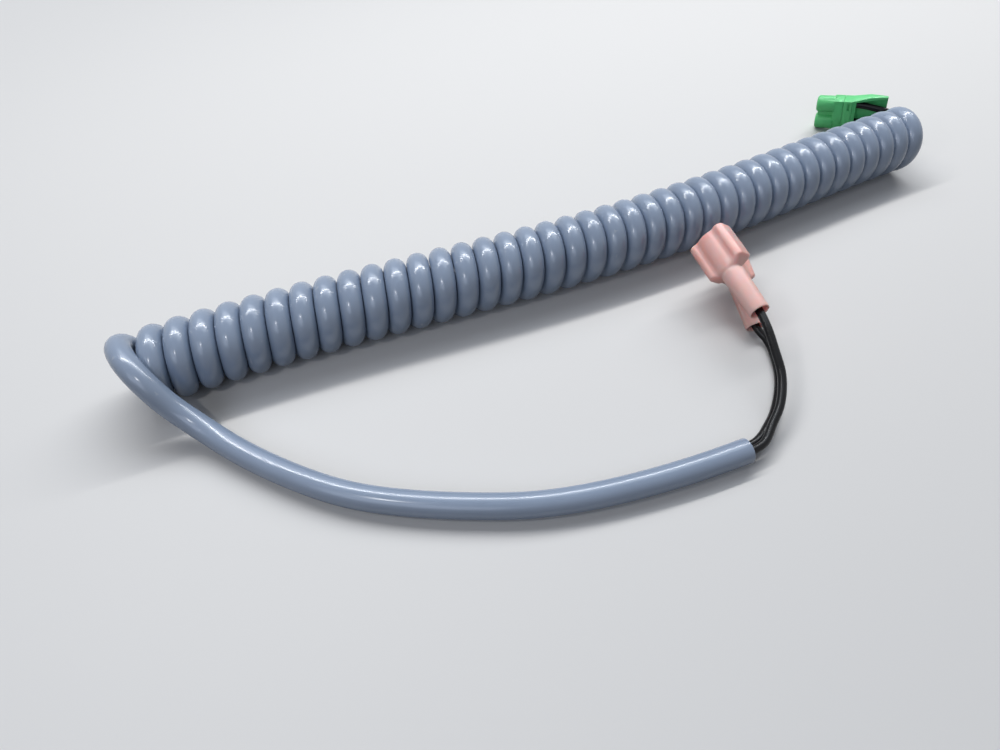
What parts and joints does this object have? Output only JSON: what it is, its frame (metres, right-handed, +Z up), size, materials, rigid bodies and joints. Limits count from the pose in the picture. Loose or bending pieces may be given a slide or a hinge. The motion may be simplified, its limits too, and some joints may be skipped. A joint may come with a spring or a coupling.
{
  "type": "curly control cable",
  "caption": "Curly control cable that stretches and springs back, with insulated push-on terminals on its tail and a slim pole plug on its lead.",
  "frame": {"origin": "on the ground under the middle of the whole object", "axes": "+X along the closed coil from the tail's end to the plug's end, +Y away from the tail's loop, +Z up"},
  "size_m": [0.2101, 0.0907, 0.0179],
  "materials": {
    "jacket_grey": "smooth glossy flexible jacket",
    "core_black": "glossy flexible insulation",
    "copper_strands": "bare stranded copper",
    "nylon_pink": "translucent moulded nylon",
    "tinned_brass": "tin-plated sheet",
    "sleeve_metal": "plain drawn sleeve",
    "plug_green": "satin moulded plastic",
    "contact_metal": "tin-plated contact"
  },
  "bodies": {
    "tail_end": {"coil": "jacket_grey", "tail_jacket": "jacket_grey", "tail_core_a": "core_black", "tail_core_b": "core_black", "tail_core_a_strands": "copper_strands", "tail_core_b_strands": "copper_strands", "terminal_a_housing": "nylon_pink", "terminal_b_housing": "nylon_pink", "terminal_a_receptacle": "tinned_brass", "terminal_b_receptacle": "tinned_brass", "terminal_a_grip_sleeve": "sleeve_metal", "terminal_b_grip_sleeve": "sleeve_metal"},
    "plug_end": {"lead_jacket": "jacket_grey", "lead_core_a": "core_black", "lead_core_b": "core_black", "lead_core_a_strands": "copper_strands", "lead_core_b_strands": "copper_strands", "plug_housing": "plug_green", "plug_hood": "plug_green", "socket_contact_a": "contact_metal", "socket_contact_b": "contact_metal"}
  },
  "joints": [
    {"name": "coil_stretch", "type": "slide", "parent": "tail_end", "child": "plug_end", "axis": [1, 0, 0], "range_m": [0, 0.388], "stiffness_N_per_m": 20, "deforming": ["coil"]}
  ]
}
